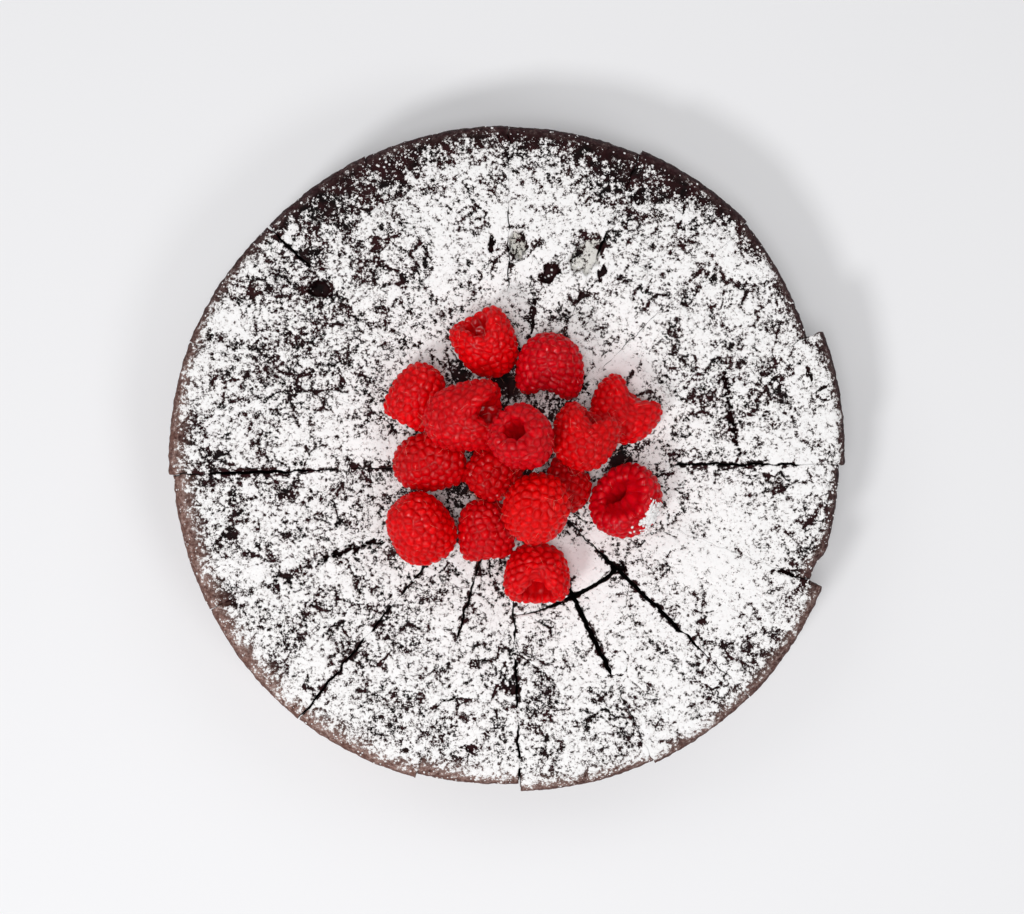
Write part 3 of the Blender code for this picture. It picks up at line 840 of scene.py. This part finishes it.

# Length, width and depth in mm; heading of the tip and its rise in degrees; how far the sides
# of the mouth stand forward and how deep the upper lip is notched, in mm; how wide the mouth
# is against the profile's, how much bloom the skin has, and how much darker it is drawn, for
# its ripeness and as painted shade where it lies in the heap's shade
RASPBERRIES = (
    (18.2, 18.8, 16.0, -30, 3, 0.5, 0.0, 1.00, 0.2, 0.4),
    (26.2, 21.8, 17.5, 190, 6, 0.0, 0.0, 1.00, 0.1, 0.37),
    (23.0, 19.8, 17.5, 62, 8, 0.5, 0.0, 1.00, 0.2, 0.0),
    (25.0, 23.2, 21.0, 118, 35, 0.0, 0.0, 1.00, 0.1, 0.0),
    (21.6, 20.4, 17.5, 96, 8, 0.5, 0.5, 1.00, 0.3, 0.25),
    (20.8, 23.8, 17.5, 90, -24, 0.8, 5.0, 1.00, 0.2, 0.0),
    (22.6, 24.6, 19.0, 82, 16, 1.0, 3.2, 0.90, 0.9, 0.22),
    (23.5, 22.4, 18.0, -60, -16, 1.5, 6.0, 0.90, 0.2, 0.02),
    (20.5, 25.4, 18.5, 234, 10, 2.0, 4.4, 1.00, 0.3, 0.0),
    (18.5, 27.3, 24.2, -40, -54, 1.0, 3.0, 0.94, 1.0, 0.13),
    (19.0, 19.4, 16.0, 232, 12, 0.0, 0.0, 1.00, 0.1, 0.45),
    (22.0, 23.2, 19.0, -112, 4, 0.8, 4.6, 0.90, 0.1, 0.25),
    (28.0, 24.6, 18.0, 188, -4, 1.5, 8.0, 1.00, 0.4, 0.19),
    (18.0, 21.6, 23.2, -49, -46, 1.0, 2.0, 0.78, 0.8, 0.19),
    (21.5, 23.0, 24.8, 60, 68, 0.0, 0.0, 1.00, 0.0, 0.0),
)

# Berries whose upper lip is folded into the hollow, and how far
FOLDED_LIPS = {10: 4.6 * MM}

DRUPELET = 3.3 * MM
DRUPELET_RISE = 0.98 * MM
DRUPELET_SINK = 0.28 * MM
DRUPELET_SHIFT = 0.2
GROOVE_SHARPNESS = 2.4
STATIONS = 104
ROUND = 176

# Rounds of drupelets, in widths of one: from the tip to the first, and from one to the next;
# in the hollow they are further apart, narrower and flatter
FIRST_ROUND = 0.85
NEXT_ROUND = 0.88
INNER_ROUND = 1.5
INNER_WIDTH = 0.8
INNER_RISE = 0.45


def berry_curve(mouth=1.0):
    """The profile as an even smooth curve: shares of radius and of length, how far along each
    lies and how far along the lip is."""
    profile = [
        (share * (mouth if row >= LIP_ROW else 1), height)
        for row, (share, height) in enumerate(BERRY_PROFILE)
    ]
    knots = np.array([profile[0], *profile, profile[-1]])
    knots[0] = (-knots[2][0], knots[2][1])
    knots[-1] = (-knots[-3][0], knots[-3][1])
    steps = np.linspace(0, 1, CURVE_STEPS, endpoint=False)[:, None]
    parts = []
    for a, b, c, d in zip(knots, knots[1:], knots[2:], knots[3:]):
        curve = b + 0.5 * steps * (c - a) + steps**2 * (a - 2.5 * b + 2 * c - 0.5 * d)
        parts.append(curve + steps**3 * 0.5 * (3 * (b - c) + d - a))
    dense = np.concatenate([*parts, knots[-2:-1]])
    scaled = dense * (USUAL_RADIUS, USUAL_LENGTH)
    run = np.concatenate(([0], np.cumsum(np.hypot(*np.diff(scaled, axis=0).T))))
    knot_runs = run[::CURVE_STEPS]
    even = np.linspace(0, run[-1], STATIONS)
    share, height = (np.interp(even, run, dense[:, i]) for i in (0, 1))
    return np.maximum(share, 0), height, even, knot_runs[LIP_ROW]


def unit_thimble(shares, heights):
    """The profile spun into a closed thimble, as a mesh that every berry starts from."""
    bm = bmesh.new()
    chain = [bm.verts.new((x, 0, z)) for x, z in zip(shares, heights)]
    edges = [bm.edges.new(pair) for pair in zip(chain, chain[1:])]
    bmesh.ops.spin(
        bm,
        geom=[*chain, *edges],
        cent=(0, 0, 0),
        axis=(0, 0, 1),
        angle=2 * math.pi,
        steps=ROUND,
        use_merge=True,
    )
    bmesh.ops.remove_doubles(bm, verts=bm.verts, dist=1e-6)
    bmesh.ops.recalc_face_normals(bm, faces=bm.faces)
    for face in bm.faces:
        face.smooth = True
    return mesh_of(bm, "thimble")


def thimble_points(turn, run, row, number):
    """Points of one berry's smooth form, by turn and distance along the profile."""
    length, width, depth, _, _, curl, notch, mouth = row[:8]
    shares, heights, runs, lip_run = berry_curve(mouth)
    share = np.interp(run, runs, shares)
    height = np.interp(run, runs, heights)
    across, up = share * np.cos(turn), share * np.sin(turn)
    along = height * (length * MM - 2 * SKIN_COVER) + curl * MM * (LIP_TURN - across**2)
    notched = np.exp(-((across / NOTCH_SPREAD) ** 2)) * smoothstep(0.0, 0.35, up)
    notched *= smoothstep(0.1, -0.45, height)
    inside = smoothstep(lip_run, lip_run + 4 * MM, run)
    along += notch * MM * notched * (1 - (1 - NOTCH_INSIDE) * inside)
    x = across * (width * MM / 2 - SKIN_COVER)
    y = up * (depth * MM / 2 - SKIN_COVER)
    folded = smoothstep(lip_run - 0.5 * MM, lip_run + 2.5 * MM, run) * smoothstep(-0.1, 0.3, up)
    y -= FOLDED_LIPS.get(number, 0) * folded
    step_x, step_y = (step * number * BERRY_UNEVEN_SIZE for step in (7.3, 3.1))
    swell = lumps(BERRY_UNEVEN_SIZE, x + step_x, y + step_y, along)
    place = np.stack((x, y, along), axis=1)
    away = np.maximum(np.linalg.norm(place, axis=1, keepdims=True), 1e-9)
    return place + BERRY_UNEVEN * swell[:, None] * place / away


def drupelet_middles(row, number):
    """Where the drupelets sit: staggered rounds from the tip over the lip into the hollow."""
    rng = random.Random(number)
    shares, _, run_along, lip_run = berry_curve(row[7])
    radius = (row[1] + row[2]) * MM / 4
    stretch = row[0] * MM / USUAL_LENGTH
    runs, turns = [0.0], [0.0]
    run = FIRST_ROUND * DRUPELET / stretch
    ring = 0
    while run < run_along[-1]:
        inside = run > lip_run + 1.5 * MM
        round_length = 2 * math.pi * radius * np.interp(run, run_along, shares)
        beads = max(round(round_length / (DRUPELET * (INNER_WIDTH if inside else 1))), 4)
        for bead in range(beads):
            shift = rng.uniform(-1, 1) * DRUPELET_SHIFT
            turns.append(2 * math.pi * (bead + 0.5 * (ring % 2) + shift) / beads)
            runs.append(run + rng.uniform(-1, 1) * DRUPELET_SHIFT * DRUPELET)
        run += DRUPELET * (INNER_ROUND if inside else NEXT_ROUND) / stretch
        ring += 1
    return np.array(turns), np.array(runs)


def heading_matrix(heading, rise):
    """Turns a berry's own axes: +Z to its tip, +X level, and +Y to its upper side."""
    turn, climb = math.radians(heading), math.radians(rise)
    tip = Vector((math.cos(climb) * math.cos(turn), math.cos(climb) * math.sin(turn), 0))
    tip.z = math.sin(climb)
    side = Vector((-math.sin(turn), math.cos(turn), 0))
    return Matrix((side, tip.cross(side), tip)).transposed()


base_shares, base_heights, _, _ = berry_curve()
thimble = unit_thimble(base_shares, base_heights)
thimble_x, thimble_y, thimble_z = points_of(thimble).T
thimble_turn = np.arctan2(thimble_y, thimble_x)
thimble_share = np.hypot(thimble_x, thimble_y)
miss = np.abs(thimble_share[:, None] - base_shares)
miss += np.abs(thimble_z[:, None] - base_heights)
thimble_station = miss.argmin(axis=1)


def raspberry_piece(node, row, number):
    """One berry: the thimble in its own form, swollen into drupelets and laid in its place."""
    mesh = thimble.copy()
    _, _, run_along, lip_run = berry_curve(row[7])
    thimble_run = run_along[thimble_station]
    smooth_form = thimble_points(thimble_turn, thimble_run, row, number)
    move_points(mesh, smooth_form)
    out = np.empty(len(mesh.vertices) * 3)
    mesh.vertex_normals.foreach_get("vector", out)
    out = out.reshape(-1, 3)
    turns, runs = drupelet_middles(row, number)
    middles = thimble_points(turns, runs, row, number)
    tree = kdtree.KDTree(len(middles))
    for index, middle in enumerate(middles):
        tree.insert(middle, index)
    tree.balance()
    near = []
    for point in smooth_form:
        (_, index, first), (_, _, second) = tree.find_n(point, 2)
        near.append((index, first, second))
    owner, first, second = np.array(near).T
    groove = np.clip(2 * first / (first + second), 0, 1)
    bead = 1 - groove**GROOVE_SHARPNESS
    bead = 1.2 * bead**2 / (bead + 0.2)
    plump = np.clip((first + second) / DRUPELET, 0.5, 1.1)
    inside = smoothstep(lip_run + 0.5 * MM, lip_run + 4 * MM, thimble_run)
    rise = DRUPELET_RISE * bead * plump * (1 - (1 - INNER_RISE) * inside) - DRUPELET_SINK
    place = (smooth_form + rise[:, None] * out) @ np.array(heading_matrix(*row[3:5])).T
    low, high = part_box(node)
    place += np.array((low + high) / 2) - (place.min(axis=0) + place.max(axis=0)) / 2
    move_points(mesh, place)
    own_tone = np.array([random.Random(number * 1000 + i).random() for i in range(len(middles))])
    layers = {
        "groove": groove,
        "hollow": inside,
        "tone": own_tone[owner.astype(int)],
        "bloom": np.full(len(groove), row[8]),
        # How much darker the whole berry is drawn, for ripeness and as painted shade
        "ripeness_and_shade": np.full(len(groove), row[9]),
    }
    keep_layers(mesh, layers)
    return placed(f"fresh_{node}", mesh)


# Ripe raspberry skin: thin and full of juice, so light goes a little way in, with a faint but
# sharp shine. The grooves between drupelets and the inside of the hollow are painted a deeper
# red as shade, and each berry is drawn darker for its ripeness and as painted shade where it
# lies in the heap's shade; a fine down gives some berries a cool bloom.
SKIN_MOTTLE = 1.6 * MM
SKIN_GRAIN = 0.3 * MM


def raspberry_skin():
    material, tree = new_material("ripe_raspberry_skin")
    place = add(tree, "TexCoord", output="Object")
    layers = {}
    for layer in ("groove", "hollow", "tone", "bloom", "ripeness_and_shade"):
        layers[layer] = add(tree, "Attribute", output="Fac", attribute_name=layer)
    mottle = add(tree, "TexNoise", {"Vector": place, "Scale": 1 / SKIN_MOTTLE, "Detail": 3.0})
    reds = []
    for dull, bright in (("#d20002", "#ee0204"), ("#c60214", "#de051a")):
        tones = {MIX_FACTOR: layers["tone"], MIX_FIRST: colour(dull), MIX_SECOND: colour(bright)}
        reds.append(add(tree, "Mix", tones, MIX_RESULT, data_type="RGBA"))
    tones = {MIX_FACTOR: layers["bloom"], MIX_FIRST: reds[0], MIX_SECOND: reds[1]}
    skin = add(tree, "Mix", tones, MIX_RESULT, data_type="RGBA")
    patches = add(
        tree, "MapRange", {"Value": mottle, "From Min": 0.42, "From Max": 0.72, "To Max": 0.45}
    )
    # Painted shade: the grooves between drupelets deeper red
    groove_shade = add(
        tree,
        "MapRange",
        {"Value": layers["groove"], "From Min": 0.5, "From Max": 1.0, "To Max": 0.3},
        interpolation_type="SMOOTHSTEP",
    )
    # Painted shade: the inside of the hollow deeper red
    inner = add(tree, "Math", {0: layers["hollow"], 1: 0.4}, operation="MULTIPLY")
    # Darker reds over the skin: for ripeness and painted shade, random patches, and painted shade
    # in the grooves and the hollow
    deeper_reds = (
        (layers["ripeness_and_shade"], "#980008"),
        (patches, "#b80004"),
        (groove_shade, "#980000"),
        (inner, "#a8040c"),
    )
    for share, deeper in deeper_reds:
        tones = {MIX_FACTOR: share, MIX_FIRST: skin, MIX_SECOND: colour(deeper)}
        skin = add(tree, "Mix", tones, MIX_RESULT, data_type="RGBA")
    grain = add(tree, "TexNoise", {"Vector": place, "Scale": 1 / SKIN_GRAIN, "Detail": 2.0})
    bump = add(tree, "Bump", {"Height": grain, "Strength": 0.12, "Distance": 0.08 * MM})
    shader = add(
        tree,
        "BsdfPrincipled",
        {
            "Base Color": skin,
            "Roughness": 0.17,
            "IOR": 1.4,
            "Specular IOR Level": 0.14,
            "Coat Weight": 0.16,
            "Coat Roughness": 0.08,
            "Subsurface Weight": 0.9,
            "Subsurface Radius": (3.2 * MM, 0.5 * MM, 0.35 * MM),
            "Subsurface Scale": 1.0,
            "Normal": bump,
        },
    )
    add(tree, "OutputMaterial", {"Surface": shader})
    return material


berry_finish = raspberry_skin()
berry_pieces = []
for number, row in enumerate(RASPBERRIES, 1):
    node = f"raspberry_{number:02d}"
    berry = raspberry_piece(node, row, number)
    berry.data.materials.append(berry_finish)
    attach(berry, "root")
    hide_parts(node)
    berry_pieces.append(berry)
bpy.data.meshes.remove(thimble)


# The berries' fine hairs: the dried styles, one to a drupelet at first, most of them rubbed
# off. They are drawn about twice as thick as real ones, so that they show.
HAIRS_PER_BERRY = 34
HAIR_THICKNESS = 0.08 * MM
HAIR_LENGTHS = (1.2 * MM, 2.8 * MM)
HAIR_ROOT = 0.1 * MM
HAIR_LEANS = (0.4, 1.3)
HAIR_BENDS = (0.2, 0.7)


def joined_copies(name, template, places):
    """One mesh of many copies: the template's points at each place, with its faces."""
    flat_points = np.concatenate(places).astype(np.float32)
    faces = [tuple(face.vertices) for face in template.polygons]
    stride = len(template.vertices)
    every = [tuple(i + n * stride for i in face) for n in range(len(places)) for face in faces]
    mesh = bpy.data.meshes.new(name)
    mesh.from_pydata(flat_points.tolist(), [], every)
    mesh.shade_smooth()
    return placed(name, mesh)


bm = bmesh.new()
bmesh.ops.create_cone(bm, cap_ends=True, segments=3, radius1=0.5, radius2=0.2, depth=1)
upright = [e for e in bm.edges if abs(e.verts[0].co.z - e.verts[1].co.z) > 0.5]
bmesh.ops.subdivide_edges(bm, edges=upright, cuts=4, use_grid_fill=True)
bmesh.ops.translate(bm, verts=bm.verts, vec=(0, 0, 0.5))
hair = mesh_of(bm, "hair")
hair_points = points_of(hair)
rng = random.Random(7)
hairs = []
for berry in berry_pieces:
    hollow = berry.data.attributes["hollow"].data
    groove = berry.data.attributes["groove"].data
    tops = [
        i for i in range(len(berry.data.vertices))
        if groove[i].value < 0.3 and hollow[i].value < 0.05
    ]
    for index in rng.sample(tops, HAIRS_PER_BERRY):
        root, out = berry.data.vertices[index].co, berry.data.vertices[index].normal
        aside = out.orthogonal().normalized()
        aside.rotate(Matrix.Rotation(rng.uniform(0, 2 * math.pi), 3, out))
        way = (out + aside * rng.uniform(*HAIR_LEANS)).normalized()
        bend = (out.cross(way) + aside).normalized() * rng.uniform(*HAIR_BENDS)
        length = rng.uniform(*HAIR_LENGTHS)
        first_side = way.orthogonal().normalized()
        second_side = way.cross(first_side)
        up = hair_points[:, 2:3]
        line = np.array(root) + length * (up * np.array(way) + up**2 * np.array(bend))
        ring = hair_points[:, 0:1] * np.array(first_side)
        ring = ring + hair_points[:, 1:2] * np.array(second_side)
        hairs.append(line + HAIR_THICKNESS * ring - HAIR_ROOT * np.array(out))
hair_piece = joined_copies("raspberry_hairs", hair, hairs)
bpy.data.meshes.remove(hair)

# A dried style: a stiff pale thread, faintly red where juice stained it
hair_finish, tree = new_material("dried_raspberry_style")
shader = add(
    tree, "BsdfPrincipled", {"Base Color": colour("#d99a86"), "Roughness": 0.5, "IOR": 1.5}
)
add(tree, "OutputMaterial", {"Surface": shader})
hair_piece.data.materials.append(hair_finish)
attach(hair_piece, "root")


# Loose icing sugar: damp powder that dropped from the sieve in little clumps. They lie all
# over the crust, most where it is thinly dusted, and some stuck to the rim of one berry.
CLUMP_COUNT = 8800
CLUMP_SIZES = (0.35 * MM, 1.15 * MM)
CLUMP_LEAST_SHARE = 0.14
CLUMP_EDGE_SHARE = 2.4
LUMP_GRAIN = 0.25 * MM

# On the berry: where its sugared edge is, as shares of the berry's box, how far the sugar
# spreads from there, and how far off the middle it starts
BERRY_CLUMPS = 240
BERRY_CLUMP_SIZES = (0.6 * MM, 1.5 * MM)
SUGARED_EDGE = (0.83, 0.3)
SUGAR_SPREAD = 3.4 * MM
MOUTH_SHARE = 0.31


def clump_at(spot, out, size, rng):
    """One clump's points: a lump pressed flat on its spot, uneven all round."""
    turn = Matrix.Rotation(rng.uniform(0, 2 * math.pi), 3, "Z")
    points = np.array([turn @ point for point in clump_points])
    points *= 1 + 0.35 * (np.array([rng.random() for _ in points])[:, None] - 0.5)
    points *= size * np.array((1, rng.uniform(0.6, 1), rng.uniform(0.45, 0.8)))
    stand = np.array(out.to_track_quat("Z", "Y").to_matrix())
    return points @ stand.T + np.array(spot) + 0.15 * size * np.array(out)


bm = bmesh.new()
bmesh.ops.create_icosphere(bm, subdivisions=1, radius=0.5)
clump = mesh_of(bm, "clump")
clump_points = [vert.co.copy() for vert in clump.vertices]
bpy.context.view_layer.update()
rng = random.Random(11)
clumps = []
while len(clumps) < CLUMP_COUNT:
    angle = rng.uniform(0, 2 * math.pi)
    away = CAKE_RADIUS * math.sqrt(rng.uniform(0.05, 1.0))
    x, y = away * math.cos(angle), away * math.sin(angle)
    cover = float(sugar_cover(np.array([x]), np.array([y]), np.array([CAKE_RADIUS - away]))[0])
    if rng.random() > CLUMP_LEAST_SHARE + CLUMP_EDGE_SHARE * cover * (1 - cover):
        continue
    size = CLUMP_SIZES[0] + (CLUMP_SIZES[1] - CLUMP_SIZES[0]) * rng.random() ** 2.5
    for piece in slice_pieces:
        hit, spot, out, _ = piece.ray_cast(Vector((x, y, 2 * RIM_HEIGHT)), Vector((0, 0, -1)))
        if hit and spot.z > 0.7 * RIM_HEIGHT:
            clumps.append(clump_at(spot, out, size, rng))
            break
sugared_berry = berry_pieces[9]
low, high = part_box("raspberry_10")
middle = (low + high) / 2
edge_x = low.x + SUGARED_EDGE[0] * (high.x - low.x)
edge_y = low.y + SUGARED_EDGE[1] * (high.y - low.y)
spots = []
for vert in sugared_berry.data.vertices:
    away = math.hypot((vert.co.x - edge_x) / 1.2, vert.co.y - edge_y) / SUGAR_SPREAD
    rim_side = (vert.co - middle).xy.length > MOUTH_SHARE * (high.x - low.x)
    if rim_side and vert.normal.z > 0.25 and rng.random() < math.exp(-(away**2)):
        spots.append(vert)
for vert in rng.sample(spots, min(BERRY_CLUMPS, len(spots))):
    clumps.append(clump_at(vert.co, vert.normal, rng.uniform(*BERRY_CLUMP_SIZES), rng))
clump_piece = joined_copies("loose_icing_sugar", clump, clumps)
bpy.data.meshes.remove(clump)

# Icing sugar: fine white powder, quite matt, held in clumps by a little damp
sugar_finish, tree = new_material("icing_sugar")
place = add(tree, "TexCoord", output="Object")
powder = add(tree, "TexNoise", {"Vector": place, "Scale": 1 / LUMP_GRAIN, "Detail": 2.0})
bump = add(tree, "Bump", {"Height": powder, "Strength": 0.4, "Distance": 0.1 * MM})
tones = {MIX_FACTOR: powder, MIX_FIRST: colour("#e9e6e6"), MIX_SECOND: colour("#fbfafa")}
white = add(tree, "Mix", tones, MIX_RESULT, data_type="RGBA")
shader = add(tree, "BsdfPrincipled", {"Base Color": white, "Roughness": 0.95, "Normal": bump})
add(tree, "OutputMaterial", {"Surface": shader})
clump_piece.data.materials.append(sugar_finish)
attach(clump_piece, "root")


# The studio: a plain pale floor, soft light from a pale ceiling, two windows in front and the
# walls behind, and a camera 60 cm over the floor that looks straight down.
CAMERA_PLACE = (1.93 * MM, 0.53 * MM, 600 * MM)
LENS = 56.25
SENSOR = 36
FLOOR_SIZE = 6.0
SKY_STRENGTH = 0.15

# Each light: where it stands, how wide it is, in metres, and its power in watts
LIGHTS = {
    "window_front_left": ((-0.62, -0.75, 1.15), 0.3, 7.5),
    "window_front_right": ((0.75, -0.65, 1.15), 0.5, 3.5),
    "wall_back_right": ((0.7, 0.8, 1.1), 0.9, 2.0),
    "wall_back_left": ((-0.85, 0.7, 1.1), 0.9, 2.5),
    "pale_ceiling": ((-0.1, -0.15, 1.5), 0.6, 8.6),
}

bm = bmesh.new()
bmesh.ops.create_grid(bm, x_segments=1, y_segments=1, size=FLOOR_SIZE / 2)
floor = placed("floor", mesh_of(bm, "floor"))
floor_finish, tree = new_material("pale_floor")
shader = add(tree, "BsdfPrincipled", {"Base Color": colour("#f0f0f2"), "Roughness": 0.9})
add(tree, "OutputMaterial", {"Surface": shader})
floor.data.materials.append(floor_finish)

for light_name, (light_place, light_width, power) in LIGHTS.items():
    light_data = bpy.data.lights.new(light_name, "AREA")
    light_data.shape = "DISK"
    light_data.size = light_width
    light_data.energy = power
    light = placed(light_name, light_data)
    light.location = light_place
    light.rotation_euler = (-Vector(light_place)).to_track_quat("-Z", "Y").to_euler()

sky = bpy.data.worlds.new("daylight")
sky.use_nodes = True
sky.node_tree.nodes["Background"].inputs["Color"].default_value = (1.0, 1.0, 1.0, 1)
sky.node_tree.nodes["Background"].inputs["Strength"].default_value = SKY_STRENGTH
bpy.context.scene.world = sky

camera_data = bpy.data.cameras.new("camera")
camera_data.lens = LENS
camera_data.sensor_width = SENSOR
camera = placed("camera", camera_data)
camera.location = CAMERA_PLACE
bpy.context.scene.camera = camera
bpy.context.scene.view_settings.view_transform = "Standard"
